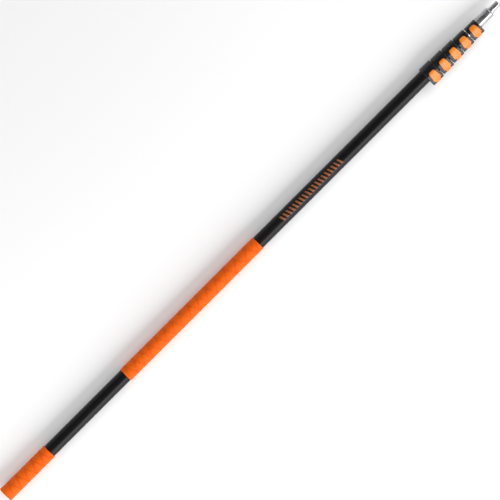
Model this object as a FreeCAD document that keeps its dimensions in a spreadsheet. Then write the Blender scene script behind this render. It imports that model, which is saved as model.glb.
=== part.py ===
"""Telescopic extension pole: six nested tubes, five flip-lock collars and a threaded tip.

The pole lies along +X with its tip at the +X end. The origin is the centre of the flat butt end. The
levers face +Z and their hinge pins are on the -Y side. Everything is in millimetres, pole collapsed.
"""
import math
import os

import FreeCAD
import Part
import Sketcher

# Driving dimensions: alias, value, what it is.
SIZES = [
    ("outer_tube_diameter", 38.0, "outside diameter of tube_1"),
    ("outer_tube_length", 1616.4, "length of tube_1"),
    ("tube_wall", 0.8, "wall of every tube"),
    ("tube_gap", 0.5, "radial space between one tube and the next"),
    ("cap_floor", 4.0, "thickness of the end grip's closed end"),
    ("end_grip_length", 166.0, "end grip, butt to mouth"),
    ("end_grip_wall", 2.0, "end grip's wall over the tube"),
    ("butt_flare", 1.2, "extra radius at the butt"),
    ("butt_flare_length", 14.0, "how far the flare runs up the grip"),
    ("butt_edge", 2.0, "rounding of the butt's outer edge"),
    ("main_grip_start", 454.5, "butt to the main grip's lower edge"),
    ("main_grip_length", 500.5, "main grip"),
    ("main_grip_wall", 1.75, "main grip's wall over the tube"),
    ("grip_edge", 0.8, "rounding of the grips' edges"),
    ("plug_length", 22.0, "end plug inside tube_1"),
    ("plug_floor", 4.0, "closed end of the plug, which the inner tubes rest on"),
    ("plug_wall", 2.0, "wall of the plug's skirt"),
    ("bush_length", 40.0, "guide bush, from its web up the outside of its tube"),
    ("bush_web", 3.0, "end ring of a guide bush, under the tube's end"),
    ("bush_inner_step", 4.0, "how far that ring stands inside the tube's bore"),
    ("slide_fit", 0.1, "radial clearance of a bush, ring, bead or collar on its tube"),
    ("overlap_length", 180.0, "bottom end of an inner tube to the top of its stop ring"),
    ("stop_ring_length", 12.0, "stop ring"),
    ("stop_bead_start", 3.0, "collar's lower edge to the rolled bead that stops the next tube's ring"),
    ("stop_bead_length", 4.0, "rolled bead"),
    ("collar_height", 38.2, "collar, along the pole"),
    ("collar_lip", 4.0, "part of the collar above the end of its tube"),
    ("collar_gap", 2.2, "space between two collars"),
    ("last_collar_wall", 2.4, "barrel wall of the smallest collar"),
    ("collar_wall_step", 0.7, "extra barrel wall of each larger collar"),
    ("collar_edge", 2.4, "rounding of a collar's end edges"),
    ("face_angle", 27.0, "slope of the flat face from barrel to lug, degrees"),
    ("lug_radius", 6.0, "collar lug round the hinge pin"),
    ("pin_offset", 5.0, "hinge pin beyond the barrel's side"),
    ("pin_diameter", 4.0, "hinge pin"),
    ("pin_inset", 0.6, "pin ends below the collar's end faces"),
    ("pin_fit", 0.05, "radial clearance of the lever on its pin"),
    ("knuckle_wall", 1.2, "lever round its pin, over the collar's lug"),
    ("knuckle_gap", 0.3, "clearance round the knuckle in the collar's notch"),
    ("neck_height", 16.6, "lever at its knuckle, along the pole"),
    ("neck_gap", 0.4, "clearance above and below the neck"),
    ("lever_gap", 0.4, "space between lever and collar"),
    ("lever_thickness", 3.2, "lever's paddle"),
    ("lever_length", 33.5, "hinge pin to free end, along the paddle"),
    ("lever_ramp", 9.0, "hinge pin to where the paddle is at full height"),
    ("lever_edge", 0.9, "rounding of the lever's outer edge"),
    ("ramp_bend", 20.0, "bend at the top of the ramp"),
    ("paddle_height", 24.8, "paddle where it is widest"),
    ("paddle_corner", 5.5, "rounding of the paddle's free corners"),
    ("paddle_flare", 6.0, "slope of the paddle's long edges, degrees"),
    ("shoulder_start", 1.0, "hinge pin to the start of the neck's shoulder"),
    ("shoulder_bend", 2.3, "radius of both bends of the shoulder"),
    ("rib_depth", 0.5, "finger grooves across the knuckle"),
    ("rib_width", 1.3, "finger grooves, along the pole"),
    ("rib_pitch", 3.6, "finger groove spacing"),
    ("rib_reach", 5.0, "hinge pin to the inner end of the grooves"),
    ("rib_stop", 12.0, "plain wrap left below the grooves, degrees"),
    ("cam_reach", 5.7, "pin centre to brake shoe, lever closed"),
    ("cam_throw", 1.0, "eccentricity of the cam"),
    ("cam_lead", 35.0, "cam centre ahead of the shoe, lever closed, degrees"),
    ("wrap_angle", 170.0, "where the knuckle's wrap ends, degrees from the paddle"),
    ("shoe_reach", 1.45, "brake shoe, across the tube, past the height of the highest hinge pin"),
    ("shoe_side_gap", 0.3, "clearance round the shoe in its window"),
    ("shoe_fit", 0.05, "shoe to tube, lever closed"),
    ("tip_gap", 1.5, "last collar to the tip's bead"),
    ("tip_wall", 1.7, "wall of the tip's body over its tube"),
    ("tip_length", 45.5, "tip, bead to shoulder"),
    ("tip_floor", 9.0, "solid metal behind the shoulder"),
    ("bead_rise", 0.7, "bead round the tip's mouth, above the tip's body"),
    ("bead_width", 5.4, "bead, along the pole"),
    ("bead_edge", 1.2, "rounding of the bead at the tip's mouth"),
    ("bead_step_edge", 0.6, "rounding of the bead where it steps down to the tip's body"),
    ("shoulder_round", 0.95, "rounding of the tip's shoulder, as a share of the shoulder's width"),
    ("neck_diameter", 20.4, "plain collar under the thread"),
    ("neck_length", 2.6, "plain collar under the thread"),
    ("thread_diameter", 19.05, "thread over its crests"),
    ("thread_pitch", 5.08, "thread pitch, right-handed"),
    ("thread_depth", 1.45, "crest to valley"),
    ("thread_length", 28.4, "threaded stub above its plain collar"),
    ("thread_valley", 2.7, "flat of the valley"),
    ("thread_opening", 3.6, "valley at the crests"),
    ("thread_end", 2.4, "rounding of the stub's end"),
    ("thread_stop", 0.2, "plain ring left between the groove and the plain collar"),
]
SECTIONS = 6
RIB_COUNT = 4
FAR = 20.0  # how far a cutting outline reaches past what it cuts
NEAR = 1.0  # the same, where little room is needed
SPARE_TURN = 12.0  # how far a paddle is bent past its free end before it is trimmed, degrees

doc = FreeCAD.newDocument("extension_pole")
sheet = doc.addObject("Spreadsheet::Sheet", "sizes")
for row, (alias, value, meaning) in enumerate(SIZES, start=1):
    sheet.set(f"A{row}", meaning)
    sheet.set(f"B{row}", str(value))
    sheet.setAlias(f"B{row}", alias)
doc.recompute()

ROOT = (-1, 1)  # a sketch's own origin, as a (geometry, point) pair
START, END, CENTRE = 1, 2, 3
sub_parts = []


# --- Helpers -------------------------------------------------------------------------------------


def number(expression):
    """The present value of an expression of sheet cells."""
    result = sheet.evalExpression(str(expression))
    return float(getattr(result, "Value", result))


def make_body(label, at_x="0", at_y="0", at_z="0"):
    body = doc.addObject("PartDesign::Body", label)
    body.Label = label
    for axis, place in zip("xyz", (at_x, at_y, at_z)):
        body.setExpression(f".Placement.Base.{axis}", str(place))
    sub_parts.append(body)
    return body


class Outline:
    """A sketch on one of its body's own planes. Every size in it is an expression of sheet cells."""

    def __init__(self, body, name, plane, offset="0"):
        self.body = body
        self.sketch = body.newObject("Sketcher::SketchObject", f"{body.Label}_{name}")
        face = next(o for o in body.Origin.OriginFeatures if o.Role == f"{plane}_Plane")
        self.sketch.AttachmentSupport = [(face, "")]
        self.sketch.MapMode = "FlatFace"
        self.sketch.setExpression(".AttachmentOffset.Base.z", str(offset))
        self.count = 0

    def line(self, start, end):
        a = FreeCAD.Vector(number(start[0]), number(start[1]), 0)
        b = FreeCAD.Vector(number(end[0]), number(end[1]), 0)
        return self.sketch.addGeometry(Part.LineSegment(a, b), False)

    def arc(self, centre, radius, first_angle, last_angle):
        """An arc, anticlockwise from first_angle to last_angle, both in degrees."""
        middle = FreeCAD.Vector(number(centre[0]), number(centre[1]), 0)
        circle = Part.Circle(middle, FreeCAD.Vector(0, 0, 1), number(radius))
        span = (math.radians(number(first_angle)), math.radians(number(last_angle)))
        return self.sketch.addGeometry(Part.ArcOfCircle(circle, *span), False)

    def circle(self, centre, radius):
        middle = FreeCAD.Vector(number(centre[0]), number(centre[1]), 0)
        index = self.sketch.addGeometry(
            Part.Circle(middle, FreeCAD.Vector(0, 0, 1), number(radius)), False
        )
        self.place((index, CENTRE), centre)
        self.radius(index, radius)
        return index

    def rule(self, kind, *references):
        """A constraint with no size, such as Coincident, Tangent or Vertical."""
        return self.sketch.addConstraint(Sketcher.Constraint(kind, *references))

    def size(self, kind, references, expression):
        index = self.sketch.addConstraint(
            Sketcher.Constraint(kind, *references, number(expression))
        )
        name = f"size_{self.count}"
        self.count += 1
        self.sketch.renameConstraint(index, name)
        self.sketch.setExpression(f"Constraints.{name}", str(expression))

    def radius(self, geometry, expression):
        self.size("Radius", (geometry,), expression)

    def across(self, point, expression):
        self.size("DistanceX", (*ROOT, *point), expression)

    def up(self, point, expression):
        self.size("DistanceY", (*ROOT, *point), expression)

    def place(self, point, where):
        self.across(point, where[0])
        self.up(point, where[1])

    def polygon(self, points):
        """A closed outline of straight lines through points, each placed from the sketch's origin."""
        lines = [self.line(a, b) for a, b in zip(points, points[1:] + points[:1])]
        for line, after in zip(lines, lines[1:] + lines[:1]):
            self.rule("Coincident", line, END, after, START)
        for line, point in zip(lines, points):
            self.place((line, START), point)

    def rectangle(self, low, high):
        self.polygon([low, (high[0], low[1]), high, (low[0], high[1])])


def feature(kind, outline, name, **settings):
    body = outline.body
    made = body.newObject(f"PartDesign::{kind}", f"{body.Label}_{name}")
    made.Profile = outline.sketch
    for key, value in settings.items():
        if isinstance(value, str) and key in ("Length", "Pitch", "Height"):
            made.setExpression(key, value)
        else:
            setattr(made, key, value)
    body.Tip = made
    return made


def revolve(outline, name="turned"):
    return feature(
        "Revolution", outline, name, ReferenceAxis=(outline.sketch, ["H_Axis"]), Angle=360.0
    )


def pad(outline, name, length, midplane=False):
    return feature("Pad", outline, name, Length=length, Midplane=midplane)


def pocket(outline, name, length, midplane=False):
    """Cuts along the sketch's own normal. Raises an error if nothing is cut."""
    doc.recompute()
    before = outline.body.Shape.Volume
    cut = feature("Pocket", outline, name, Length=length, Midplane=midplane, Reversed=not midplane)
    doc.recompute()
    if outline.body.Shape.Volume > before - 1e-3:
        raise RuntimeError(f"{cut.Name} cuts nothing")
    return cut


def fillet(body, name, radius, wanted):
    """Rounds the edges of the body for which wanted(edge) is true."""
    doc.recompute()
    base = body.Tip
    names = [f"Edge{n}" for n, edge in enumerate(base.Shape.Edges, start=1) if wanted(edge)]
    if not names:
        raise RuntimeError(f"{body.Label} has no edge for {name}")
    made = body.newObject("PartDesign::Fillet", f"{body.Label}_{name}")
    made.Base = (base, names)
    made.setExpression("Radius", radius)
    body.Tip = made
    return made


def is_round_edge(edge, at_x, radius):
    """Is the edge a full circle about the pole's axis, at this x and of this radius?"""
    curve = edge.Curve
    if not isinstance(curve, Part.Circle) or len(edge.Vertexes) != 1:
        return False
    return abs(curve.Center.x - number(at_x)) < 1e-3 and abs(curve.Radius - number(radius)) < 1e-3


# --- Sizes that follow from the driving ones -----------------------------------------------------


def tube_radius(k):
    """Outer radius of tube k, from 1, the outermost."""
    return f"(sizes.outer_tube_diameter / 2 - {k - 1} * (sizes.tube_wall + sizes.tube_gap))"


def tube_top(k):
    """Where tube k ends inside its collar. The last one ends inside the threaded tip."""
    top = f"(sizes.cap_floor + sizes.outer_tube_length + {k - 1} * {COLLAR_PITCH})"
    if k == SECTIONS:
        return f"({TIP_START} + sizes.tip_length - sizes.tip_floor)"
    return top


def tube_bottom(k):
    """Lower end of tube k. The inner ones stand on the webs of the bushes below them."""
    if k == 1:
        return "(sizes.cap_floor)"
    return f"(sizes.cap_floor + sizes.plug_length + {k - 1} * sizes.bush_web)"


def collar_start(k):
    return f"({tube_top(k)} + sizes.collar_lip - sizes.collar_height)"


def barrel_radius(k):
    extra = SECTIONS - 1 - k
    return f"({tube_radius(k)} + sizes.last_collar_wall + {extra} * sizes.collar_wall_step)"


def pin_y(k):
    return f"(-({barrel_radius(k)} + sizes.pin_offset))"


def pin_z(k):
    """Height of the pin that puts the lug's circle under the flat face's plane."""
    rise = f"({barrel_radius(k)} - sizes.lug_radius)"
    return f"(({rise} + sin(sizes.face_angle) * {pin_y(k)}) / cos(sizes.face_angle))"


COLLAR_PITCH = "(sizes.collar_height + sizes.collar_gap)"
SHOE_HALF = f"({pin_z(1)} + sizes.shoe_reach)"  # half a brake shoe, across the tube
TIP_START = (
    "(sizes.cap_floor + sizes.outer_tube_length + sizes.collar_lip"
    f" + {SECTIONS - 2} * {COLLAR_PITCH} + sizes.tip_gap)"
)
BUSH_RISE = "(sizes.tube_gap - sizes.slide_fit)"  # height of a bush, a stop ring or a rolled bead
NECK_ROOM = "(sizes.neck_height + 2 * sizes.neck_gap)"
NECK_START = f"((sizes.collar_height - {NECK_ROOM}) / 2)"
KNUCKLE = "(sizes.lug_radius + sizes.knuckle_wall)"  # outside radius of the lever's knuckle
FACE_UP = "(sizes.lug_radius + sizes.lever_gap)"  # paddle's inner side above the pin
LEVER_UP = f"({FACE_UP} + sizes.lever_thickness)"  # paddle's outer side above the pin
RAMP_ANGLE = (  # where the ramp's line leaves the knuckle's circle, in degrees
    f"((atan2({LEVER_UP}; sizes.lever_ramp)"
    f" + acos({KNUCKLE} / hypot(sizes.lever_ramp; {LEVER_UP}))) / (1 deg))"
)
RAMP_FOOT = (
    f"({KNUCKLE} * cos({RAMP_ANGLE}))",
    f"({KNUCKLE} * sin({RAMP_ANGLE}))",
)


# --- Sub-parts -----------------------------------------------------------------------------------


def ring(label, at_x, length, inner, outer):
    """A plain sleeve about the pole's axis."""
    body = make_body(label, at_x)
    profile = Outline(body, "profile", "XY")
    profile.rectangle(("0", inner), (length, outer))
    revolve(profile)
    return body


def make_tube(k):
    """Drawn tube. Tubes 1 to 5 have a window for the brake shoe and a bead rolled in below it."""
    start, outer = tube_bottom(k), tube_radius(k)
    length, inner = f"({tube_top(k)} - {start})", f"({outer} - sizes.tube_wall)"
    if k == SECTIONS:
        ring(f"tube_{k}", start, length, inner, outer)
        return
    body = make_body(f"tube_{k}", start)
    bead_start = f"({collar_start(k)} + sizes.stop_bead_start - {start})"
    bead_end = f"({bead_start} + sizes.stop_bead_length)"
    profile = Outline(body, "profile", "XY")
    profile.polygon(
        [
            ("0", inner),
            (bead_start, inner),
            (bead_start, f"{inner} - {BUSH_RISE}"),
            (bead_end, f"{inner} - {BUSH_RISE}"),
            (bead_end, inner),
            (length, inner),
            (length, outer),
            (bead_end, outer),
            (bead_end, f"{outer} - {BUSH_RISE}"),
            (bead_start, f"{outer} - {BUSH_RISE}"),
            (bead_start, outer),
            ("0", outer),
        ]
    )
    revolve(profile)
    window = Outline(body, "window", "XZ")
    low = f"({collar_start(k)} + {NECK_START} - {start})"
    half = f"({SHOE_HALF} + sizes.shoe_side_gap)"
    window.rectangle((low, f"-{half}"), (f"({low} + {NECK_ROOM})", half))
    pocket(window, "shoe_window", f"{outer} + {FAR}")


def make_guide_bush(k):
    """Moulded shoe round the lower end of tube k. Its web is the stop for the tube inside."""
    outer = f"({tube_radius(k)} + {BUSH_RISE})"
    bore = f"({tube_radius(k)} - sizes.tube_wall - sizes.bush_inner_step)"
    body = make_body(f"guide_bush_{k}", f"{tube_bottom(k)} - sizes.bush_web")
    profile = Outline(body, "profile", "XY")
    profile.polygon(
        [
            ("0", bore),
            ("sizes.bush_web", bore),
            ("sizes.bush_web", tube_radius(k)),
            ("sizes.bush_length", tube_radius(k)),
            ("sizes.bush_length", outer),
            ("0", outer),
        ]
    )
    revolve(profile)


def make_stop_ring(k):
    """Ring fixed round tube k, which meets the bead in the tube outside it at full length."""
    start = f"({tube_bottom(k)} + sizes.overlap_length - sizes.stop_ring_length)"
    outer = f"({tube_radius(k)} + {BUSH_RISE})"
    ring(f"stop_ring_{k}", start, "sizes.stop_ring_length", tube_radius(k), outer)


def make_collar(k):
    """Moulded collar: a barrel on the end of tube k, and a lug for the lever's pin."""
    body = make_body(f"collar_{k}", collar_start(k))
    big, pin = barrel_radius(k), (pin_y(k), pin_z(k))
    front = "(90 + sizes.face_angle)"
    axis_turn = f"(2 * atan2({pin[1]}; {pin[0]}) / (1 deg))"
    back = f"({axis_turn} - {front})"

    plan = Outline(body, "plan", "YZ")
    barrel = plan.arc(("0", "0"), big, f"{back} - 360", front)
    lug = plan.arc(pin, "sizes.lug_radius", front, back)
    face_line = plan.line(
        (f"{big} * cos({front})", f"{big} * sin({front})"),
        (f"{pin[0]} + sizes.lug_radius * cos({front})", f"{pin[1]} + sizes.lug_radius * sin({front})"),
    )
    back_line = plan.line(
        (f"{pin[0]} + sizes.lug_radius * cos({back})", f"{pin[1]} + sizes.lug_radius * sin({back})"),
        (f"{big} * cos({back})", f"{big} * sin({back})"),
    )
    plan.rule("Tangent", barrel, END, face_line, START)
    plan.rule("Tangent", face_line, END, lug, START)
    plan.rule("Tangent", lug, END, back_line, START)
    plan.rule("Tangent", back_line, END, barrel, START)
    plan.rule("Coincident", barrel, CENTRE, *ROOT)
    plan.radius(barrel, big)
    plan.place((lug, CENTRE), pin)
    plan.radius(lug, "sizes.lug_radius")
    pad(plan, "block", "sizes.collar_height")

    fillet(
        body,
        "end_edges",
        "sizes.collar_edge",
        lambda edge: abs(edge.BoundBox.XLength) < 1e-6,
    )

    socket = Outline(body, "socket", "YZ")
    socket.circle(("0", "0"), tube_radius(k))
    pocket(socket, "tube_socket", "sizes.collar_height - sizes.collar_lip")
    bore = Outline(body, "bore", "YZ")
    bore.circle(("0", "0"), f"{tube_radius(k + 1)} + sizes.slide_fit")
    pocket(bore, "guide_bore", "sizes.collar_height")

    notch = Outline(body, "notch", "YZ", NECK_START)
    notch.circle(pin, f"{KNUCKLE} + sizes.knuckle_gap")
    pocket(notch, "knuckle_notch", NECK_ROOM)
    window = Outline(body, "window", "YZ", NECK_START)
    half = f"({SHOE_HALF} + sizes.shoe_side_gap)"
    window.rectangle((pin[0], f"-{half}"), ("0", half))
    pocket(window, "shoe_window", NECK_ROOM)
    hole = Outline(body, "pin_hole", "YZ")
    hole.circle(pin, "sizes.pin_diameter / 2")
    pocket(hole, "pin_bore", "sizes.collar_height")


def make_lever(k):
    """Flip lever. In its own frame Y runs along the paddle and Z stands out from the flat face."""
    middle = f"({collar_start(k)} + sizes.collar_height / 2)"
    body = make_body(f"lever_{k}", middle, pin_y(k), pin_z(k))
    body.setExpression(".Placement.Rotation.Axis.x", "1")
    body.setExpression(".Placement.Rotation.Axis.z", "0")
    body.setExpression(".Placement.Rotation.Angle", "sizes.face_angle * 1 deg")

    big = barrel_radius(k)
    run = (  # hinge pin to where the flat face meets the barrel
        f"(({big} + sizes.pin_offset) / cos(sizes.face_angle)"
        f" - tan(sizes.face_angle) * ({big} - sizes.lug_radius))"
    )
    hub = (run, f"(sizes.lug_radius - {big})")  # the barrel's axis
    inner = f"({big} + sizes.lever_gap)"
    outer = f"({inner} + sizes.lever_thickness)"
    mean = f"({inner} + sizes.lever_thickness / 2)"
    bend = f"((sizes.lever_length - {run}) / {mean} * 180 / pi)"

    side = Outline(body, "side", "YZ")
    spare_bend = f"({bend} + {SPARE_TURN})"  # the outline's end edge trims what is spare
    tip_angle = f"(90 - {spare_bend})"
    outer_end = (f"{run} + {outer} * sin({spare_bend})", f"{hub[1]} + {outer} * cos({spare_bend})")
    inner_end = (f"{run} + {inner} * sin({spare_bend})", f"{hub[1]} + {inner} * cos({spare_bend})")
    ramp = side.line(RAMP_FOOT, ("sizes.lever_ramp", LEVER_UP))
    top = side.line(("sizes.lever_ramp", LEVER_UP), (run, LEVER_UP))
    outer_bend = side.arc(hub, outer, tip_angle, "90")
    tip = side.line(outer_end, inner_end)
    inner_bend = side.arc(hub, inner, tip_angle, "90")
    under = side.line((run, FACE_UP), (RAMP_FOOT[0], FACE_UP))
    heel = side.line((RAMP_FOOT[0], FACE_UP), RAMP_FOOT)
    side.rule("Coincident", ramp, END, top, START)
    side.rule("Tangent", top, END, outer_bend, END)
    side.rule("Coincident", outer_bend, START, tip, START)
    side.rule("Coincident", tip, END, inner_bend, START)
    side.rule("Tangent", inner_bend, END, under, START)
    side.rule("Coincident", under, END, heel, START)
    side.rule("Coincident", heel, END, ramp, START)
    side.rule("Coincident", outer_bend, CENTRE, inner_bend, CENTRE)
    side.rule("Horizontal", top)
    side.rule("Horizontal", under)
    side.rule("Vertical", heel)
    side.place((ramp, START), RAMP_FOOT)
    side.across((ramp, END), "sizes.lever_ramp")
    side.place((outer_bend, CENTRE), hub)
    side.radius(outer_bend, outer)
    side.radius(inner_bend, inner)
    side.across((tip, START), outer_end[0])
    side.across((tip, END), inner_end[0])
    pad(side, "paddle", "sizes.paddle_height", midplane=True)

    cut_paddle_outline(body, f"({run} + {mean} * sin({bend}))")
    add_knuckle(body)
    round_outer_edges(body)
    bore = Outline(body, "pin_hole", "YZ")
    bore.circle(("0", "0"), "sizes.pin_diameter / 2 + sizes.pin_fit")
    pocket(bore, "pin_bore", f"sizes.neck_height + 2 * {NEAR}", midplane=True)
    cut_finger_grooves(body)


def cut_paddle_outline(body, free_end):
    """Trims the paddle seen from the front: a narrow neck, shoulders and rounded free corners."""
    neck, widest = "(sizes.neck_height / 2)", "(sizes.paddle_height / 2)"
    bend, corner, slope = "sizes.shoulder_bend", "sizes.paddle_corner", "sizes.paddle_flare"
    behind = f"(-{FAR})"
    # The shoulder is two equal bends, which together step out from the neck to the paddle.
    turn = f"(acos(1 - ({widest} - {neck}) / (2 * {bend})) / (1 deg))"
    crest_up = f"(sizes.shoulder_start + 2 * {bend} * sin({turn}))"
    corner_up = f"({free_end} - {corner})"
    edge_x = f"({widest} - ({corner_up} - {crest_up}) * tan({slope}))"
    corner_x = f"({edge_x} - {corner})"

    outline = Outline(body, "outline", "XY", FACE_UP)
    outline.rectangle((f"-{FAR}", f"(-{FAR} - {NEAR})"), (FAR, f"({free_end} + {FAR})"))
    base = outline.line((f"-{neck}", behind), (neck, behind))
    end = outline.line((corner_x, free_end), (f"-{corner_x}", free_end))
    outline.place((base, START), (f"-{neck}", behind))
    outline.place((base, END), (neck, behind))
    outline.rule("Horizontal", end)
    outline.up((end, START), free_end)
    for side in (1, -1):

        def angles(first, last):
            """A bend's two angles, which swap when it is mirrored."""
            return (first, last) if side > 0 else (f"180 - ({last})", f"180 - ({first})")

        low, high = (START, END) if side > 0 else (END, START)
        neck_line = outline.line(
            (f"{side} * {neck}", behind), (f"{side} * {neck}", "sizes.shoulder_start")
        )
        first_centre = (f"{side} * ({neck} + {bend})", "sizes.shoulder_start")
        first = outline.arc(first_centre, bend, *angles(f"180 - {turn}", "180"))
        second_centre = (f"{side} * ({widest} - {bend})", crest_up)
        second = outline.arc(second_centre, bend, *angles(f"-{turn}", slope))
        long_edge = outline.line((f"{side} * {widest}", crest_up), (f"{side} * {edge_x}", corner_up))
        rounded = outline.arc((f"{side} * {corner_x}", corner_up), corner, *angles(slope, "90"))

        outline.rule("Coincident", base, high, neck_line, START)
        outline.rule("Tangent", neck_line, END, first, high)
        outline.rule("Tangent", first, low, second, low)
        outline.rule("Tangent", second, high, long_edge, START)
        outline.rule("Tangent", long_edge, END, rounded, low)
        outline.rule("Tangent", rounded, high, end, low)
        outline.rule("Vertical", neck_line)
        outline.up((neck_line, END), "sizes.shoulder_start")
        outline.radius(first, bend)
        outline.radius(second, bend)
        outline.across((second, CENTRE), second_centre[0])
        outline.radius(rounded, corner)
        outline.size("Angle", (long_edge,), f"(90 + {side} * {slope}) * 1 deg")
    pocket(outline, "trim", f"4 * {FAR}", midplane=True)


def add_knuckle(body):
    """The lever's hub on its pin: a wrap round the lug outside, and the cam inside."""
    cam_angle = "(sizes.cam_lead - sizes.face_angle)"
    cam = (f"(sizes.cam_throw * cos({cam_angle}))", f"(sizes.cam_throw * sin({cam_angle}))")
    cam_radius = "(sizes.cam_reach - sizes.cam_throw * cos(sizes.cam_lead))"
    wrap_end = (
        f"({KNUCKLE} * cos(sizes.wrap_angle))",
        f"({KNUCKLE} * sin(sizes.wrap_angle))",
    )
    # The line from the wrap's end touches the cam at this angle.
    gap = (f"({wrap_end[0]} - {cam[0]})", f"({wrap_end[1]} - {cam[1]})")
    touch = (
        f"((atan2({gap[1]}; {gap[0]}) + acos({cam_radius} / hypot({gap[0]}; {gap[1]}))) / (1 deg))"
    )
    inner_x = f"(sqrt(pow({KNUCKLE}; 2) - pow(sizes.lug_radius; 2)))"
    leave = f"(acos(({inner_x} - {cam[0]}) / {cam_radius}) / (1 deg))"
    inside = f"({FACE_UP} + {NEAR})"  # a height inside the paddle

    hub = Outline(body, "hub", "YZ")
    wrap = hub.arc(("0", "0"), KNUCKLE, RAMP_ANGLE, "sizes.wrap_angle")
    back = hub.line(
        wrap_end, (f"{cam[0]} + {cam_radius} * cos({touch})", f"{cam[1]} + {cam_radius} * sin({touch})")
    )
    lobe = hub.arc(cam, cam_radius, f"{touch} - 360", leave)
    lift = hub.line(
        (inner_x, f"{cam[1]} + {cam_radius} * sin({leave})"),
        (inner_x, inside),
    )
    close = hub.line((inner_x, inside), RAMP_FOOT)
    hub.rule("Coincident", wrap, END, back, START)
    hub.rule("Tangent", back, END, lobe, START)
    hub.rule("Coincident", lobe, END, lift, START)
    hub.rule("Coincident", lift, END, close, START)
    hub.rule("Coincident", close, END, wrap, START)
    hub.rule("Coincident", wrap, CENTRE, *ROOT)
    hub.rule("Vertical", lift)
    hub.radius(wrap, KNUCKLE)
    hub.place((lobe, CENTRE), cam)
    hub.radius(lobe, cam_radius)
    hub.across((lift, END), inner_x)
    hub.up((lift, END), inside)
    hub.up((back, START), wrap_end[1])
    hub.across((wrap, START), RAMP_FOOT[0])
    pad(hub, "knuckle", "sizes.neck_height", midplane=True)


def round_outer_edges(body):
    """Softens the top of the ramp, then rounds the lever's outer edge all the way round."""

    def is_ramp_top(edge):
        box = edge.BoundBox
        flat = max(box.YLength, box.ZLength) < 1e-3
        return flat and abs(box.YMin - number("sizes.lever_ramp")) < 1e-3 and box.ZMin > number(FACE_UP)

    def is_side_wall(face):
        if isinstance(face.Surface, Part.Plane):
            return abs(face.Surface.Axis.z) < 1e-6
        return isinstance(face.Surface, Part.Cylinder) and abs(face.Surface.Axis.z) > 0.999

    def is_outer(face):
        """Does the face look away from the collar?"""
        u0, u1, v0, v1 = face.ParameterRange
        return face.normalAt((u0 + u1) / 2, (v0 + v1) / 2).z > 0.2

    def is_outer_edge(edge):
        faces = body.Tip.Shape.ancestorsOfType(edge, Part.Face)
        walls = [face for face in faces if is_side_wall(face)]
        tops = [face for face in faces if not is_side_wall(face) and is_outer(face)]
        return len(walls) == 1 and len(tops) == 1

    fillet(body, "ramp_top", "sizes.ramp_bend", is_ramp_top)
    fillet(body, "outer_edge", "sizes.lever_edge", is_outer_edge)


def cut_finger_grooves(body):
    """Shallow grooves over the knuckle and part of the ramp, side by side along the pole."""
    floor = f"({KNUCKLE} - sizes.rib_depth)"
    over = f"({KNUCKLE} + sizes.lever_thickness)"
    foot = (f"({floor} * cos({RAMP_ANGLE}))", f"({floor} * sin({RAMP_ANGLE}))")
    fall = f"(({RAMP_ANGLE}) - 90)"
    reach_up = f"({foot[1]} + (sizes.rib_reach - {foot[0]}) * tan({fall}))"
    lowest = "(sizes.wrap_angle - sizes.rib_stop)"
    low_in = (f"({floor} * cos({lowest}))", f"({floor} * sin({lowest}))")
    low_out = (f"({over} * cos({lowest}))", f"({over} * sin({lowest}))")
    top = f"({LEVER_UP} + {NEAR})"
    for n in range(RIB_COUNT):
        middle = f"({n} - {(RIB_COUNT - 1) / 2}) * sizes.rib_pitch"
        groove = Outline(body, f"groove_{n + 1}", "YZ", f"{middle} - sizes.rib_width / 2")
        bottom = groove.arc(("0", "0"), floor, RAMP_ANGLE, lowest)
        run = groove.line(foot, ("sizes.rib_reach", reach_up))
        wall = groove.line(("sizes.rib_reach", reach_up), ("sizes.rib_reach", top))
        lid = groove.line(("sizes.rib_reach", top), (low_out[0], top))
        drop = groove.line((low_out[0], top), low_out)
        entry = groove.line(low_out, low_in)
        groove.rule("Tangent", bottom, START, run, START)
        groove.rule("Coincident", run, END, wall, START)
        groove.rule("Coincident", wall, END, lid, START)
        groove.rule("Coincident", lid, END, drop, START)
        groove.rule("Coincident", drop, END, entry, START)
        groove.rule("Coincident", entry, END, bottom, END)
        groove.rule("Coincident", bottom, CENTRE, *ROOT)
        groove.rule("Vertical", wall)
        groove.rule("Horizontal", lid)
        groove.rule("Vertical", drop)
        groove.radius(bottom, floor)
        groove.across((bottom, START), foot[0])
        groove.across((run, END), "sizes.rib_reach")
        groove.up((lid, START), top)
        groove.place((entry, START), low_out)
        groove.up((entry, END), low_in[1])
        pocket(groove, f"cut_{n + 1}", "sizes.rib_width")


def make_lever_pin(k):
    """Steel pin through the lug and the lever's knuckle."""
    body = make_body(f"lever_pin_{k}", f"{collar_start(k)} + sizes.pin_inset", pin_y(k), pin_z(k))
    profile = Outline(body, "profile", "XY")
    length = "(sizes.collar_height - 2 * sizes.pin_inset)"
    profile.rectangle(("0", "0"), (length, "sizes.pin_diameter / 2"))
    revolve(profile)


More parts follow.
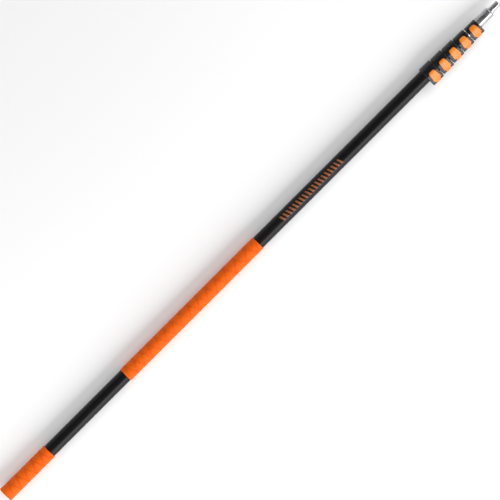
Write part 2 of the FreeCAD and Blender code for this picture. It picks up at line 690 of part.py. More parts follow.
def make_brake_shoe(k):
    """Block between the cam and the next tube, hollowed to that tube's radius."""
    start = f"{collar_start(k)} + {NECK_START} + sizes.neck_gap"
    body = make_body(f"brake_shoe_{k}", start)
    half = SHOE_HALF
    hollow = f"({tube_radius(k + 1)} + sizes.shoe_fit)"
    back = f"({pin_y(k)} + sizes.cam_reach)"
    corner = f"(-sqrt(pow({hollow}; 2) - pow({half}; 2)))"
    spread = f"(asin({half} / {hollow}) / (1 deg))"
    plan = Outline(body, "plan", "YZ")
    grip = plan.arc(("0", "0"), hollow, f"180 - {spread}", f"180 + {spread}")
    lower = plan.line((corner, f"-{half}"), (back, f"-{half}"))
    rear = plan.line((back, f"-{half}"), (back, half))
    upper = plan.line((back, half), (corner, half))
    plan.rule("Coincident", grip, END, lower, START)
    plan.rule("Coincident", lower, END, rear, START)
    plan.rule("Coincident", rear, END, upper, START)
    plan.rule("Coincident", upper, END, grip, START)
    plan.rule("Coincident", grip, CENTRE, *ROOT)
    plan.rule("Horizontal", lower)
    plan.rule("Vertical", rear)
    plan.rule("Horizontal", upper)
    plan.radius(grip, hollow)
    plan.place((rear, END), (back, half))
    plan.up((rear, START), f"-{half}")
    pad(plan, "block", "sizes.neck_height")


def make_end_plug():
    """Cup pressed in the butt end of tube_1. The stack of inner tubes rests on its floor."""
    body = make_body("end_plug", "sizes.cap_floor")
    outer = f"({tube_radius(1)} - sizes.tube_wall)"
    floor = "(sizes.plug_length - sizes.plug_floor)"
    skirt = f"({outer} - sizes.plug_wall)"
    profile = Outline(body, "profile", "XY")
    profile.polygon(
        [
            ("0", skirt),
            (floor, skirt),
            (floor, "0"),
            ("sizes.plug_length", "0"),
            ("sizes.plug_length", outer),
            ("0", outer),
        ]
    )
    revolve(profile)


def make_end_grip():
    """Soft cup over the butt end, a little wider at its closed end."""
    body = make_body("end_grip")
    inner = tube_radius(1)
    outer = f"({inner} + sizes.end_grip_wall)"
    butt = f"({outer} + sizes.butt_flare)"
    profile = Outline(body, "profile", "XY")
    profile.polygon(
        [
            ("0", "0"),
            ("sizes.cap_floor", "0"),
            ("sizes.cap_floor", inner),
            ("sizes.end_grip_length", inner),
            ("sizes.end_grip_length", outer),
            ("sizes.butt_flare_length", outer),
            ("0", butt),
        ]
    )
    revolve(profile)
    fillet(body, "butt_rounding", "sizes.butt_edge", lambda e: is_round_edge(e, "0", butt))
    mouth = "sizes.end_grip_length"
    fillet(body, "mouth_rounding", "sizes.grip_edge", lambda e: is_round_edge(e, mouth, outer))


def make_main_grip():
    """Long soft sleeve, shrunk on tube_1."""
    outer = f"({tube_radius(1)} + sizes.main_grip_wall)"
    body = ring("main_grip", "sizes.main_grip_start", "sizes.main_grip_length", tube_radius(1), outer)
    for end, name in (("0", "lower"), ("sizes.main_grip_length", "upper")):
        fillet(body, f"{name}_rounding", "sizes.grip_edge", lambda e: is_round_edge(e, end, outer))


def make_threaded_tip():
    """Metal ferrule pressed on tube_6, with a coarse right-handed male thread."""
    body = make_body("threaded_tip", TIP_START)
    length, barrel = "sizes.tip_length", f"({tube_radius(SECTIONS)} + sizes.tip_wall)"
    bead = f"({barrel} + sizes.bead_rise)"
    neck, crest = "sizes.neck_diameter / 2", "sizes.thread_diameter / 2"
    rounding = f"sizes.shoulder_round * ({barrel} - {neck})"
    neck_end = f"({length} + sizes.neck_length)"
    end = f"({neck_end} + sizes.thread_length)"
    floor = f"({length} - sizes.tip_floor)"
    profile = Outline(body, "profile", "XY")
    profile.polygon(
        [
            ("0", tube_radius(SECTIONS)),
            ("0", bead),
            ("sizes.bead_width", bead),
            ("sizes.bead_width", barrel),
            (length, barrel),
            (length, neck),
            (neck_end, neck),
            (neck_end, crest),
            (end, crest),
            (end, "0"),
            (floor, "0"),
            (floor, tube_radius(SECTIONS)),
        ]
    )
    revolve(profile)
    fillet(body, "bead_start", "sizes.bead_edge", lambda e: is_round_edge(e, "0", bead))
    bead_end = "sizes.bead_width"
    fillet(body, "bead_finish", "sizes.bead_step_edge", lambda e: is_round_edge(e, bead_end, bead))
    fillet(body, "shoulder", rounding, lambda e: is_round_edge(e, length, barrel))
    fillet(body, "stub_end", "sizes.thread_end", lambda e: is_round_edge(e, end, crest))

    # The groove starts clear of the stub's end and stops just short of the plain collar.
    start = f"({end} + sizes.thread_pitch)"
    groove = Outline(body, "groove", "XY")
    valley = f"({crest} - sizes.thread_depth)"
    over = f"({crest} + sizes.thread_depth)"
    spread = "(sizes.thread_opening - sizes.thread_valley / 2)"
    groove.polygon(
        [
            (f"{start} - sizes.thread_valley / 2", valley),
            (f"{start} + sizes.thread_valley / 2", valley),
            (f"{start} + {spread}", over),
            (f"{start} - {spread}", over),
        ]
    )
    travel = f"{start} - {neck_end} - sizes.thread_opening / 2 - sizes.thread_stop"
    doc.recompute()
    before = body.Shape.Volume
    feature(
        "SubtractiveHelix",
        groove,
        "thread",
        ReferenceAxis=(groove.sketch, ["H_Axis"]),
        Mode=0,
        Pitch="sizes.thread_pitch",
        Height=travel,
        Reversed=True,
    )
    doc.recompute()
    if body.Shape.Volume > before - 1:
        raise RuntimeError("the thread's groove cuts nothing")


# --- Build ---------------------------------------------------------------------------------------

make_end_plug()
make_end_grip()
make_main_grip()
for k in range(1, SECTIONS + 1):
    make_tube(k)
for k in range(2, SECTIONS + 1):
    make_guide_bush(k)
    make_stop_ring(k)
for k in range(1, SECTIONS):
    make_collar(k)
    make_lever(k)
    make_lever_pin(k)
    make_brake_shoe(k)
make_threaded_tip()
doc.recompute()

faults = [o.Name for o in doc.Objects if "Invalid" in o.State or "Error" in o.State]
for sub_part in sub_parts:
    shape = sub_part.Shape
    if shape.isNull() or not shape.isValid() or len(shape.Solids) != 1:
        faults.append(sub_part.Label)
if faults:
    raise RuntimeError(f"not built: {', '.join(faults)}")

os.makedirs("parts", exist_ok=True)
for sub_part in sub_parts:
    sub_part.Shape.exportStep(f"parts/{sub_part.Label}.step")
print(f"{len(sub_parts)} sub-parts written")
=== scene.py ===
# %% [markdown]
# # A telescopic extension pole
#
# The pole is six nested tubes. Five of them end in a black collar with an orange flip lever, and
# the last one carries a threaded metal tip. Two orange sleeves are the grips. The frame below
# brings in every hard part at its real size, in metres, with the pole along X and the levers
# facing up, so this notebook only has to give the parts their surfaces and to model what is soft
# or printed.

# %% Load the frame
import math

import bpy
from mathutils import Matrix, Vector


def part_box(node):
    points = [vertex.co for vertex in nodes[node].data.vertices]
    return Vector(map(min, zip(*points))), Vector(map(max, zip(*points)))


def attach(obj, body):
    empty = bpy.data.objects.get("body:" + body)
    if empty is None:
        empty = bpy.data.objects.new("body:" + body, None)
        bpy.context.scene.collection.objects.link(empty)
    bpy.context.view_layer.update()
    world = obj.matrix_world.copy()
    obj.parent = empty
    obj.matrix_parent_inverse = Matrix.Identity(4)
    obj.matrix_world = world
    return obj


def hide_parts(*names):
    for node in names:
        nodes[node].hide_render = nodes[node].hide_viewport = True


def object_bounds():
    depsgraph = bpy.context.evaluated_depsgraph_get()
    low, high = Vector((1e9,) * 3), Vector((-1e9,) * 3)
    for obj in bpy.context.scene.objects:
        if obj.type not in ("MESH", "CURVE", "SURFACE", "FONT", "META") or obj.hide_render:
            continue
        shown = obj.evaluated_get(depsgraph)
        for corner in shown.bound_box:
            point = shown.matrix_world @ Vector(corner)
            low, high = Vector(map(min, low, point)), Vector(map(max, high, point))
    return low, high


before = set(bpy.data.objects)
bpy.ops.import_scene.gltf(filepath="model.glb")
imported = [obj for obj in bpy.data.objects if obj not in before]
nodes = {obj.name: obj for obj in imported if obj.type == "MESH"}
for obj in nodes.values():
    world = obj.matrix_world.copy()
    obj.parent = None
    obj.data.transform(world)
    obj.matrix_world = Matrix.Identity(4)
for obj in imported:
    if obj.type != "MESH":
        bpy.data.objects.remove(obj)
hard_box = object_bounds()

# %% [markdown]
# ## Small helpers
#
# Operators work on whatever is selected, so each step starts by clearing the selection. The other
# helpers here add a modifier and apply it at once, make a finished mesh smooth, and move an
# object's place into its mesh, so that patterns read from object coordinates stay where they
# belong.


# %% Selection and finishing helpers
def only(piece):
    """Select one object and nothing else."""
    if bpy.context.object and bpy.context.object.mode != "OBJECT":
        bpy.ops.object.mode_set(mode="OBJECT")
    bpy.ops.object.select_all(action="DESELECT")
    piece.select_set(True)
    bpy.context.view_layer.objects.active = piece


def clear():
    """Nothing selected, so that a new primitive starts alone."""
    bpy.ops.object.select_all(action="DESELECT")


def name_it(name):
    """Name the active object and its mesh, and hand the object back."""
    piece = bpy.context.object
    piece.name = name
    piece.data.name = name
    return piece


def settle(piece):
    """Put the object's place, turn and size into its mesh."""
    only(piece)
    bpy.ops.object.transform_apply(location=True, rotation=True, scale=True)


def apply_modifier(piece, kind, name, **values):
    """Add a modifier, set it and apply it."""
    only(piece)
    modifier = piece.modifiers.new(name, kind)
    for key, value in values.items():
        setattr(modifier, key, value)
    bpy.ops.object.modifier_apply(modifier=modifier.name)


def smooth(piece, degrees=35):
    """Smooth shading, with edges sharper than the angle kept."""
    only(piece)
    bpy.ops.object.shade_smooth_by_angle(angle=math.radians(degrees))


def report(piece):
    """Print how big a finished piece is."""
    print(piece.name, len(piece.data.vertices), "vertices", [round(x, 4) for x in piece.dimensions])


# %% [markdown]
# ## Camera and light
#
# The pole lies on a pale floor and is looked at from straight above, turned so that the tip
# points to the upper right. The distance is large and the lens long, because the tubes keep the
# same width from end to end in that view. The light is a studio's. A large soft panel on the side
# of the hinge pins and a narrow one on the other side draw the bright bands along the tubes. A
# panel past each end lights the floor without showing in the tubes, and a weak general light
# fills the rest.

# %% The floor, the camera and the lights
low, high = hard_box
middle = [(a + b) / 2 for a, b in zip(low, high)]
ground = low[2] - 0.0005
floor_size, floor_shift = 26, 3  # the pole drawn out still lies on it

clear()
bpy.ops.mesh.primitive_plane_add(
    size=floor_size, location=(middle[0] + floor_shift, 0, ground)
)
floor = name_it("floor")
settle(floor)

camera_data = bpy.data.cameras.new("camera")
camera = bpy.data.objects.new("camera", camera_data)
bpy.context.scene.collection.objects.link(camera)
camera_data.sensor_width = 36
camera_data.lens = 300
stand_off = 11.155
off_centre = (-0.0056, 0.0016)
camera.location = (middle[0] + off_centre[0], off_centre[1], stand_off)
camera.rotation_euler = (0, 0, -math.radians(44.95))
camera_data.clip_end = 40
bpy.context.scene.camera = camera


def panel_light(name, place, size, power):
    """A rectangular lamp that looks at the pole's middle. size is (level side, rising side)."""
    lamp = bpy.data.lights.new(name, "AREA")
    lamp.shape = "RECTANGLE"
    lamp.size, lamp.size_y = size
    lamp.energy = power
    holder = bpy.data.objects.new(name, lamp)
    bpy.context.scene.collection.objects.link(holder)
    holder.location = place
    aim = Vector((middle[0], 0, 0)) - holder.location
    holder.rotation_euler = aim.to_track_quat("-Z", "Y").to_euler()


x = middle[0]
panel_light("key_panel", (x, -2.4, 1.35), (4.8, 2.0), 130)
panel_light("rim_panel", (x, 2.2, 0.75), (4.8, 0.4), 11)
panel_light("butt_end_panel", (x - 3.2, 0.3, 2.2), (3.4, 1.8), 68)
panel_light("tip_end_panel", (x + 3.2, 0.3, 2.2), (3.4, 1.8), 68)

world = bpy.data.worlds.new("studio")
bpy.context.scene.world = world
world.use_nodes = True
background = world.node_tree.nodes["Background"]
background.inputs["Color"].default_value = (1, 1, 1, 1)
background.inputs["Strength"].default_value = 0.13
bpy.context.scene.view_settings.view_transform = "Standard"
print("camera at", tuple(round(v, 2) for v in camera.location))

# %% [markdown]
# ## Shader groups
#
# Several finishes share the same effects: a fine grain in plastic and rubber, patches and scratches
# from handling, and fine drawn lines along a tube. A fourth group marks where a printed row of
# dashes has ink. Each is a node group with named inputs and outputs. A group gives out only masks
# and bump heights, and each material decides what they do.


# %% A builder for node trees
class Tree:
    """Adds nodes to a tree and links them, so that a finish reads as a short list of steps."""

    def __init__(self, tree):
        self.tree = tree

    def add(self, kind, **values):
        node = self.tree.nodes.new(kind)
        for key, value in values.items():
            setattr(node, key, value)
        return node

    def link(self, source, target):
        self.tree.links.new(source, target)

    def feed(self, node, **inputs):
        """Set a node's inputs by name, from numbers or from other nodes' outputs."""
        for key, value in inputs.items():
            by_number = key[0] == "n" and key[1:].isdigit()
            socket = node.inputs[int(key[1:]) if by_number else key.replace("_", " ")]
            if isinstance(value, bpy.types.NodeSocket):
                self.link(value, socket)
            else:
                socket.default_value = value
        return node

    def math(self, operation, a, b=0.0, c=0.0):
        node = self.add("ShaderNodeMath", operation=operation)
        self.feed(node, n0=a, n1=b, n2=c)
        return node.outputs[0]

    def ramp(self, value, low, high, start=0.0, end=1.0):
        """Map a value from one range to another, held inside it."""
        node = self.add("ShaderNodeMapRange")
        self.feed(node, Value=value, From_Min=low, From_Max=high, To_Min=start, To_Max=end)
        return node.outputs["Result"]

    def mix(self, factor, first, second):
        node = self.add("ShaderNodeMix", data_type="RGBA")
        self.feed(node, n0=factor, n6=first, n7=second)
        return node.outputs[2]


def new_group(name, inputs, outputs):
    """A shader group with float inputs, as (name, default), and float outputs."""
    group = bpy.data.node_groups.new(name, "ShaderNodeTree")
    for label, default in inputs:
        socket = group.interface.new_socket(label, in_out="INPUT", socket_type="NodeSocketFloat")
        socket.default_value = default
    for label in outputs:
        group.interface.new_socket(label, in_out="OUTPUT", socket_type="NodeSocketFloat")
    tree = Tree(group)
    entry = tree.add("NodeGroupInput")
    leave = tree.add("NodeGroupOutput")
    return group, tree, entry, leave


# %% Group: grain of moulded plastic and rubber
grain, tree, entry, leave = new_group(
    "moulded_grain", [("Cell size mm", 0.5), ("Softness", 0.5)], ["Height", "Tone"]
)
place = tree.add("ShaderNodeTexCoord").outputs["Object"]
cells_per_m = tree.math("DIVIDE", 1000.0, entry.outputs["Cell size mm"])
fine = tree.feed(tree.add("ShaderNodeTexVoronoi"), Vector=place, Scale=cells_per_m)
cloud = tree.add("ShaderNodeTexNoise")
tree.feed(cloud, Vector=place, Scale=tree.math("MULTIPLY", cells_per_m, 0.35), Detail=3.0)
height = tree.ramp(fine.outputs["Distance"], 0.0, 0.7)
height = tree.math("MULTIPLY_ADD", height, entry.outputs["Softness"], cloud.outputs["Fac"])
tree.link(height, leave.inputs["Height"])
tree.link(cloud.outputs["Fac"], leave.inputs["Tone"])
print("group", grain.name)

# %% Group: handling marks
marks, tree, entry, leave = new_group(
    "handling_marks", [("Patch size mm", 40.0)], ["Rubbed", "Scratch"]
)
place = tree.add("ShaderNodeTexCoord").outputs["Object"]
patches_per_m = tree.math("DIVIDE", 1000.0, entry.outputs["Patch size mm"])
patch = tree.add("ShaderNodeTexNoise")
tree.feed(patch, Vector=place, Scale=patches_per_m, Detail=6.0, Roughness=0.65)
tree.link(tree.ramp(patch.outputs["Fac"], 0.38, 0.68), leave.inputs["Rubbed"])
stretch = tree.feed(tree.add("ShaderNodeMapping"), Vector=place, Scale=(6.0, 90.0, 90.0))
streak = tree.add("ShaderNodeTexNoise")
tree.feed(streak, Vector=stretch.outputs["Vector"], Scale=9.0, Detail=4.0)
tree.link(tree.ramp(streak.outputs["Fac"], 0.66, 0.72), leave.inputs["Scratch"])
print("group", marks.name)

# %% Group: drawn lines along a tube
drawn, tree, entry, leave = new_group("drawn_lines", [("Lines per mm", 4.0)], ["Height", "Tone"])
place = tree.add("ShaderNodeTexCoord").outputs["Object"]
across = tree.feed(tree.add("ShaderNodeMapping"), Vector=place, Scale=(1.2, 1000.0, 1000.0))
per_mm = tree.math("MULTIPLY", entry.outputs["Lines per mm"], 0.25)
lines = tree.add("ShaderNodeTexNoise")
tree.feed(lines, Vector=across.outputs["Vector"], Scale=per_mm, Detail=2.0)
broad = tree.feed(tree.add("ShaderNodeMapping"), Vector=place, Scale=(1.0, 60.0, 60.0))
bands = tree.add("ShaderNodeTexNoise")
tree.feed(bands, Vector=broad.outputs["Vector"], Scale=2.0, Detail=3.0)
tree.link(lines.outputs["Fac"], leave.inputs["Height"])
tree.link(bands.outputs["Fac"], leave.inputs["Tone"])
print("group", drawn.name)

# %% Group: a printed row of slanted dashes on a round tube
dashes, tree, entry, leave = new_group(
    "printed_dashes",
    [
        ("Start mm", 0.0),
        ("Length mm", 100.0),
        ("Height mm", 20.0),
        ("Pitch mm", 15.0),
        ("Slant", 0.3),
    ],
    ["Ink", "Wear"],
)
size = entry.outputs
place = tree.add("ShaderNodeTexCoord").outputs["Object"]
parts = tree.feed(tree.add("ShaderNodeSeparateXYZ"), Vector=place).outputs
along = tree.math("SUBTRACT", tree.math("MULTIPLY", parts["X"], 1000.0), size["Start mm"])
# The way round the tube, from its top line.
squares = [tree.math("POWER", parts[axis], 2.0) for axis in "YZ"]
radius_mm = tree.math("MULTIPLY", tree.math("SQRT", tree.math("ADD", *squares)), 1000.0)
around = tree.math("MULTIPLY", tree.math("ARCTAN2", parts["Y"], parts["Z"]), radius_mm)
# Inside the row's height, inside its length, and on a dash.
half_height = tree.math("MULTIPLY", size["Height mm"], 0.5)
inside_row = tree.math("SUBTRACT", half_height, tree.math("ABSOLUTE", around))
inside_row = tree.ramp(inside_row, 0.0, 0.3)
half_length = tree.math("MULTIPLY", size["Length mm"], 0.5)
from_middle = tree.math("ABSOLUTE", tree.math("SUBTRACT", along, half_length))
inside_ends = tree.ramp(tree.math("SUBTRACT", half_length, from_middle), 0.0, 0.3)
leaning = tree.math("MULTIPLY_ADD", around, size["Slant"], along)
wave = tree.math("PINGPONG", leaning, tree.math("MULTIPLY", size["Pitch mm"], 0.5))
bars = tree.math("SUBTRACT", wave, tree.math("MULTIPLY", size["Pitch mm"], 0.24))
bars = tree.ramp(bars, -0.15, 0.15)
ink = tree.math("MULTIPLY", tree.math("MULTIPLY", inside_row, inside_ends), bars)
speck = tree.feed(tree.add("ShaderNodeTexNoise"), Vector=place, Scale=900.0, Detail=4.0)
tree.link(ink, leave.inputs["Ink"])
tree.link(tree.ramp(speck.outputs["Fac"], 0.35, 0.5), leave.inputs["Wear"])
print("group", dashes.name)


# %% A material with a Principled shader and a bump
def new_finish(name, **plain):
    """A material, its tree and its Principled node. Plain numbers are set on the shader itself."""
    material = bpy.data.materials.new(name)
    material.use_nodes = True
    tree = Tree(material.node_tree)
    shader = material.node_tree.nodes["Principled BSDF"]
    for key, value in plain.items():
        shader.inputs[key.replace("_", " ")].default_value = value
    return material, tree, shader


def use_group(tree, group, **values):
    """Put a shared group in a material, with its own values."""
    node = tree.add("ShaderNodeGroup", node_tree=group)
    for key, value in values.items():
        node.inputs[key.replace("_", " ")].default_value = value
    return node


def bump(tree, shader, height, strength, depth_mm):
    """Feed a height into the shader's normal, with its full depth in millimetres."""
    node = tree.add("ShaderNodeBump")
    tree.feed(node, Height=height, Strength=strength, Distance=depth_mm / 1000)
    tree.link(node.outputs["Normal"], shader.inputs["Normal"])


def surface(tree, shader, colour, roughness):
    """Feed the shader's colour and its roughness."""
    tree.link(colour, shader.inputs["Base Color"])
    tree.link(roughness, shader.inputs["Roughness"])


def dress(material, *names):
    """Give nodes this material in every slot."""
    for name in names:
        data = nodes[name].data
        data.materials.clear()
        data.materials.append(material)
    print(material.name, "on", *names)


# %% [markdown]
# ## Black tube
#
# The four outer tubes are aluminium with a black anodised finish: dark, half glossy, with faint
# drawn lines along their length. Reflections of the long panels make straight bands on it. Fine
# scratches show a little lighter, where a collar has rubbed the finish. The outermost tube also
# has a row of printed marks on its upper side, in a copper orange ink, so its material is the
# same recipe with one more layer of colour on top. The row is plain slanted dashes.

# %% Black anodised finish
def black_finish(name, printed):
    """Black anodised aluminium. With printed=True it carries the row of dashes."""
    material, tree, shader = new_finish(name, IOR=1.5)
    shader.inputs["Specular IOR Level"].default_value = 0.22
    pull = use_group(tree, drawn, Lines_per_mm=5.0)
    rub = use_group(tree, marks, Patch_size_mm=55.0)
    tone = tree.ramp(pull.outputs["Tone"], 0.3, 0.7)
    base = tree.mix(tone, (0.0035, 0.003, 0.0035, 1), (0.006, 0.0052, 0.006, 1))
    base = tree.mix(tree.math("MULTIPLY", rub.outputs["Scratch"], 0.2), base, (0.03, 0.03, 0.032, 1))
    rough = tree.ramp(rub.outputs["Rubbed"], 0, 1, 0.30, 0.38)
    if printed:
        row = use_group(
            tree, dashes, Start_mm=1042.0, Length_mm=228.0, Height_mm=18.0, Pitch_mm=12.0, Slant=0.35
        )
        ink = tree.math("MULTIPLY", row.outputs["Ink"], row.outputs["Wear"])
        base = tree.mix(ink, base, (0.30, 0.105, 0.045, 1))
        rough = tree.math("MULTIPLY_ADD", ink, 0.12, rough)
    surface(tree, shader, base, rough)
    bump(tree, shader, pull.outputs["Height"], 0.06, 0.01)
    return material


dress(black_finish("black_printed", printed=True), "tube_1")
dress(black_finish("black_anodised", printed=False), "tube_2", "tube_3", "tube_4")

# %% [markdown]
# ## Bright tube
#
# The two inner tubes are bare aluminium. The metal's own colour does most of the work. Fine drawn
# lines in the bump give the highlights soft edges, and handling makes the gloss patchy.

# %% Bare aluminium
bright_tube, tree, shader = new_finish("bare_aluminium", Metallic=1.0)
pull = use_group(tree, drawn, Lines_per_mm=6.0)
rub = use_group(tree, marks, Patch_size_mm=30.0)
tone = tree.ramp(pull.outputs["Tone"], 0.3, 0.7)
colour = tree.mix(tone, (0.62, 0.63, 0.64, 1), (0.72, 0.72, 0.73, 1))
roughness = tree.ramp(rub.outputs["Rubbed"], 0, 1, 0.24, 0.36)
surface(tree, shader, colour, roughness)
bump(tree, shader, pull.outputs["Height"], 0.3, 0.02)
dress(bright_tube, "tube_5", "tube_6")

# %% [markdown]
# ## Plated tip
#
# The threaded tip is turned steel with a grey plating. Turning leaves fine rings round the axis,
# so the bump comes from a noise that changes fast along X only. The plating is a little cloudy,
# so its colour and its gloss change in small patches.

# %% Plated steel
tip_metal, tree, shader = new_finish("plated_steel", Metallic=1.0)
place = tree.add("ShaderNodeTexCoord").outputs["Object"]
turned = tree.feed(tree.add("ShaderNodeMapping"), Vector=place, Scale=(1000.0, 8.0, 8.0))
rings = tree.add("ShaderNodeTexNoise")
tree.feed(rings, Vector=turned.outputs["Vector"], Scale=1.6, Detail=3.0)
rub = use_group(tree, marks, Patch_size_mm=9.0)
colour = tree.mix(rub.outputs["Rubbed"], (0.38, 0.38, 0.39, 1), (0.52, 0.52, 0.53, 1))
roughness = tree.ramp(rub.outputs["Rubbed"], 0, 1, 0.26, 0.38)
surface(tree, shader, colour, roughness)
bump(tree, shader, rings.outputs["Fac"], 0.35, 0.03)
dress(tip_metal, "threaded_tip")

# %% [markdown]
# ## Collars and levers
#
# The collars are moulded in glossy black plastic, the levers in orange. Both get the same moulded
# grain at different strength. Levers are touched all the time, so their gloss is patchy.

# %% Black collar plastic
collar_black, tree, shader = new_finish("collar_black", IOR=1.5, Coat_Weight=0.25)
shader.inputs["Coat Roughness"].default_value = 0.2
shader.inputs["Specular IOR Level"].default_value = 0.3
skin = use_group(tree, grain, Cell_size_mm=0.6, Softness=0.4)
rub = use_group(tree, marks, Patch_size_mm=18.0)
colour = tree.mix(skin.outputs["Tone"], (0.005, 0.005, 0.006, 1), (0.010, 0.010, 0.011, 1))
roughness = tree.ramp(rub.outputs["Rubbed"], 0, 1, 0.20, 0.32)
surface(tree, shader, colour, roughness)
bump(tree, shader, skin.outputs["Height"], 0.10, 0.03)
dress(collar_black, *[f"collar_{n}" for n in range(1, 6)])

# %% Orange lever plastic
lever_orange, tree, shader = new_finish(
    "lever_orange", IOR=1.48, Subsurface_Weight=0.12, Subsurface_Scale=0.002, Coat_Weight=0.1
)
skin = use_group(tree, grain, Cell_size_mm=0.5, Softness=0.5)
rub = use_group(tree, marks, Patch_size_mm=10.0)
colour = tree.mix(rub.outputs["Rubbed"], (0.70, 0.175, 0.006, 1), (0.80, 0.235, 0.010, 1))
roughness = tree.ramp(rub.outputs["Rubbed"], 0, 1, 0.28, 0.42)
surface(tree, shader, colour, roughness)
bump(tree, shader, skin.outputs["Height"], 0.12, 0.04)
dress(lever_orange, *[f"lever_{n}" for n in range(1, 6)])

# %% [markdown]
# ## Hidden plastic and the pins
#
# Bushes, stop rings, brake shoes and the end plug are plain dark nylon, seen only at the ends or
# when a tube is drawn out. The hinge pins are drawn steel.

# %% Nylon and pin steel
nylon, tree, shader = new_finish("dark_nylon", IOR=1.5)
skin = use_group(tree, grain, Cell_size_mm=0.8, Softness=0.6)
colour = tree.mix(skin.outputs["Tone"], (0.012, 0.012, 0.012, 1), (0.024, 0.024, 0.024, 1))
roughness = tree.ramp(skin.outputs["Tone"], 0.2, 0.8, 0.5, 0.65)
surface(tree, shader, colour, roughness)
bump(tree, shader, skin.outputs["Height"], 0.2, 0.05)
inner = ["end_plug"] + [f"{kind}_{n}" for kind in ("guide_bush", "stop_ring") for n in range(2, 7)]
dress(nylon, *inner, *[f"brake_shoe_{n}" for n in range(1, 6)])

pin_steel, tree, shader = new_finish("pin_steel", Metallic=1.0)
pull = use_group(tree, drawn, Lines_per_mm=8.0)
colour = tree.mix(pull.outputs["Tone"], (0.36, 0.36, 0.37, 1), (0.5, 0.5, 0.51, 1))
roughness = tree.ramp(pull.outputs["Tone"], 0.2, 0.8, 0.25, 0.4)
surface(tree, shader, colour, roughness)
bump(tree, shader, pull.outputs["Height"], 0.3, 0.02)
dress(pin_steel, *[f"lever_pin_{n}" for n in range(1, 6)])

# %% [markdown]
# ## Grips
#
# Both grips are soft rubber sleeves shrunk over the outer tube. Two pairs of shallow furrows wind
# round each sleeve in opposite directions and cross on four lines along it, which leaves a net of
# long soft diamonds. The upper sleeve was stretched more towards its upper end, so its furrows
# run further apart there. A bump in a material would show the net but not its outline, so the
# furrows are pressed into the mesh: the sleeve is a tube cut into many rings, each vertex gets a
# weight from how near it is to a furrow, and a Displace modifier pushes the weighted ones in.

# %% Furrow pattern
furrow_depth = 0.00045
furrow_width = 0.0024
fade_length = 0.004  # at each end of a sleeve
crossing_line = math.radians(48)  # one of the lines of crossings, from the top towards the pins
same_place = 1e-6  # two vertices closer than this along X are on one ring


def furrow_at(x, angle, start, length, radius, pitches):
    """How much of a furrow there is at a place on a sleeve, from 0 to 1."""
    near, far = pitches
    growth = max(far - near, 1e-6)  # never zero, so that an even net needs no case of its own
    share = (x - start) / length
    # Furrows passed since the sleeve's start, when the pitch grows with the square of the way.
    passed = length / math.sqrt(near * growth) * math.atan(share * math.sqrt(growth / near))
    pitch = near + growth * share * share
    half_round = math.pi * radius
    spacing = pitch * half_round / math.hypot(pitch, half_round)
    nearest = 1.0
    for hand in (1, -1):
        phase = passed + hand * (angle + crossing_line) / math.pi
        nearest = min(nearest, abs(phase - round(phase)))
    from_end = min(x - start, start + length - x)
    fade = min(1.0, max(0.0, from_end / fade_length))
    return fade * math.exp(-((nearest * spacing / furrow_width) ** 2))


# %% Ringed tube and end loops
def pick_edges(piece, wanted):
    """Go into edit mode with only those edges selected whose two ends pass the test."""
    bpy.ops.object.mode_set(mode="EDIT")
    bpy.ops.mesh.select_mode(type="EDGE")
    bpy.ops.mesh.select_all(action="DESELECT")
    bpy.ops.object.mode_set(mode="OBJECT")
    mesh = piece.data
    for edge in mesh.edges:
        edge.select = wanted(*(mesh.vertices[n].co for n in edge.vertices))
    bpy.ops.object.mode_set(mode="EDIT")


def ringed_tube(name, low_x, high_x, radius, sides, rings):
    """An open tube along X, cut into rings of nearly square faces."""
    clear()
    bpy.ops.mesh.primitive_cylinder_add(
        vertices=sides,
        radius=radius,
        depth=high_x - low_x,
        end_fill_type="NOTHING",
        location=((low_x + high_x) / 2, 0, 0),
        rotation=(0, math.pi / 2, 0),
    )
    piece = name_it(name)
    settle(piece)
    pick_edges(piece, lambda a, b: abs(a.x - b.x) > (high_x - low_x) / 2)
    bpy.ops.mesh.subdivide(number_cuts=rings - 1)
    bpy.ops.object.mode_set(mode="OBJECT")
    return piece


def run_loop(piece, steps):
    """Extrude the ring at the first step's x through (x, radius) steps. The last stays selected."""
    start = steps[0][0]
    pick_edges(piece, lambda a, b: max(abs(a.x - start), abs(b.x - start)) < same_place)
    for (x, radius), (next_x, next_radius) in zip(steps, steps[1:]):
        bpy.ops.mesh.extrude_edges_move(TRANSFORM_OT_translate={"value": (next_x - x, 0, 0)})
        scale = next_radius / radius
        bpy.ops.transform.resize(value=(1, scale, scale), center_override=(next_x, 0, 0))


def quarter_round(x, radius, edge, toward, parts=4):
    """Steps of a rounded outer edge that ends on a flat face at x + toward * edge."""
    turn = [math.pi / 2 * n / parts for n in range(parts + 1)]
    return [(x + toward * edge * math.sin(a), radius - edge * (1 - math.cos(a))) for a in turn]


# %% Press the furrows in and keep their weights for the colour
def press_furrows(piece, *net):
    """Push the furrows into a ringed tube. net is (start, length, radius, pitches)."""
    group = piece.vertex_groups.new(name="furrow")
    for vertex in piece.data.vertices:
        angle = math.atan2(vertex.co.y, vertex.co.z)
        weight = furrow_at(vertex.co.x, angle, *net)
        if weight > 0.01:
            group.add([vertex.index], weight, "REPLACE")
    apply_modifier(
        piece, "DISPLACE", "press", vertex_group="furrow", strength=-furrow_depth, mid_level=0.0
    )
    piece.vertex_groups.clear()


def finish_sleeve(piece, bore, *net):
    """Turn the faces out, store the net as an attribute for the material, and smooth."""
    bpy.ops.mesh.select_all(action="SELECT")
    bpy.ops.mesh.normals_make_consistent(inside=False)
    bpy.ops.object.mode_set(mode="OBJECT")
    layer = piece.data.attributes.new("furrow", "FLOAT", "POINT")
    for vertex, value in zip(piece.data.vertices, layer.data):
        outside = math.hypot(vertex.co.y, vertex.co.z) > bore + furrow_depth
        angle = math.atan2(vertex.co.y, vertex.co.z)
        value.value = furrow_at(vertex.co.x, angle, *net) if outside else 0.0
    smooth(piece)
    report(piece)


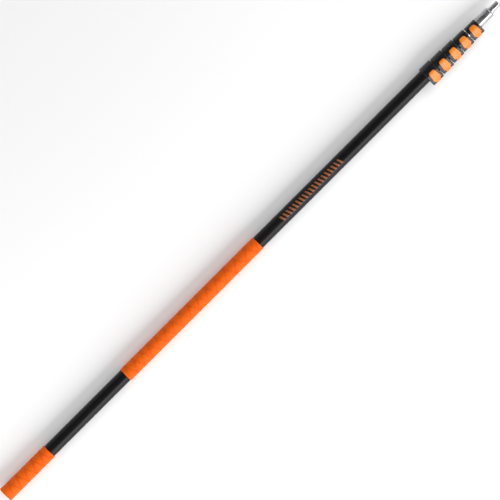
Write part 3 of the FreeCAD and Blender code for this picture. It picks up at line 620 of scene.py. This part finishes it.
# %% Upper grip sleeve
sides = 96
edge = 0.0008
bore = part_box("tube_1")[1].y
low_corner, high_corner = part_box("main_grip")
radius = high_corner.y
body_low, body_high = low_corner.x + edge, high_corner.x - edge
net = (body_low, body_high - body_low, radius, (0.028, 0.043))
upper_grip = ringed_tube("upper_grip", body_low, body_high, radius, sides, rings=300)
press_furrows(upper_grip, *net)
run_loop(upper_grip, quarter_round(body_low, radius, edge, -1) + [(low_corner.x, bore)])
run_loop(upper_grip, quarter_round(body_high, radius, edge, 1) + [(high_corner.x, bore)])


def on_mouth(a, b):
    """Whether an edge lies on the bore, at either mouth of the sleeve."""
    at_bore = all(math.hypot(end.y, end.z) < bore + 10 * same_place for end in (a, b))
    return at_bore and abs(a.x - b.x) < same_place


pick_edges(upper_grip, on_mouth)
bpy.ops.mesh.bridge_edge_loops()
finish_sleeve(upper_grip, bore, *net)

# %% [markdown]
# The butt grip is a cup: the same furrowed sleeve, but its lower end flares out, rounds over and
# closes. Its upper ring turns over the mouth and runs back down inside to the cup's floor.

# %% Butt grip
low_corner, high_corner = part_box("end_grip")
butt_radius = high_corner.y
grip_wall, flare_length, butt_edge, cup_floor = 0.002, 0.014, 0.002, 0.004
radius = bore + grip_wall
body_low, body_high = flare_length, high_corner.x - edge
net = (body_low, body_high - body_low, radius, (0.029, 0.029))
butt_grip = ringed_tube("butt_grip", body_low, body_high, radius, sides, rings=96)
press_furrows(butt_grip, *net)

shoulder = butt_radius - (butt_radius - radius) * butt_edge / flare_length
flare = [(body_low, radius), (0.010, radius + 0.0003), (0.006, radius + 0.0007)]  # starts softly
run_loop(butt_grip, flare + quarter_round(butt_edge, shoulder, butt_edge, -1, parts=6))
bpy.ops.mesh.edge_face_add()
bpy.ops.mesh.inset(thickness=2 * butt_edge)
bpy.ops.mesh.poke()

mouth = quarter_round(body_high, radius, edge, 1)
run_loop(butt_grip, mouth + [(high_corner.x, bore), (cup_floor, bore)])
bpy.ops.mesh.edge_face_add()
bpy.ops.mesh.poke()
finish_sleeve(butt_grip, bore, *net)

# %% [markdown]
# The rubber is orange right through. The furrows are painted darker and redder, as painted shade in
# the grooves, and hands polish the diamonds between them, so those are a little smoother. A fine
# pebble covers everything.

# %% Orange rubber
rubber, tree, shader = new_finish("orange_rubber", IOR=1.45)
shader.inputs["Specular IOR Level"].default_value = 0.15
furrow = tree.add("ShaderNodeAttribute", attribute_name="furrow").outputs["Fac"]
pebble = use_group(tree, grain, Cell_size_mm=1.1, Softness=0.8)
rub = use_group(tree, marks, Patch_size_mm=28.0)
skin = tree.mix(rub.outputs["Rubbed"], (0.74, 0.102, 0.003, 1), (0.80, 0.122, 0.004, 1))
# painted shade: the furrows are coloured darker and redder
skin = tree.mix(tree.math("MULTIPLY", furrow, 0.36), skin, (0.42, 0.04, 0.003, 1))
worn = tree.ramp(rub.outputs["Rubbed"], 0, 1, 0.62, 0.5)
surface(tree, shader, skin, tree.math("MULTIPLY_ADD", furrow, 0.15, worn))
bump(tree, shader, pebble.outputs["Height"], 0.25, 0.15)
for piece, node in ((upper_grip, "main_grip"), (butt_grip, "end_grip")):
    piece.data.materials.append(rubber)
    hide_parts(node)
    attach(piece, "section_1")
print("grips dressed")

# %% Pale floor
paper, tree, shader = new_finish("pale_paper", IOR=1.4)
shader.inputs["Specular IOR Level"].default_value = 0.1
place = tree.add("ShaderNodeTexCoord").outputs["Object"]
fibre = tree.feed(tree.add("ShaderNodeTexNoise"), Vector=place, Scale=400.0, Detail=2.0)
tree.link(
    tree.mix(fibre.outputs["Fac"], (0.92, 0.92, 0.92, 1), (0.94, 0.94, 0.94, 1)),
    shader.inputs["Base Color"],
)
floor.data.materials.append(paper)

# %% [markdown]
# ## Finish

# %% The end
print("pole finished")
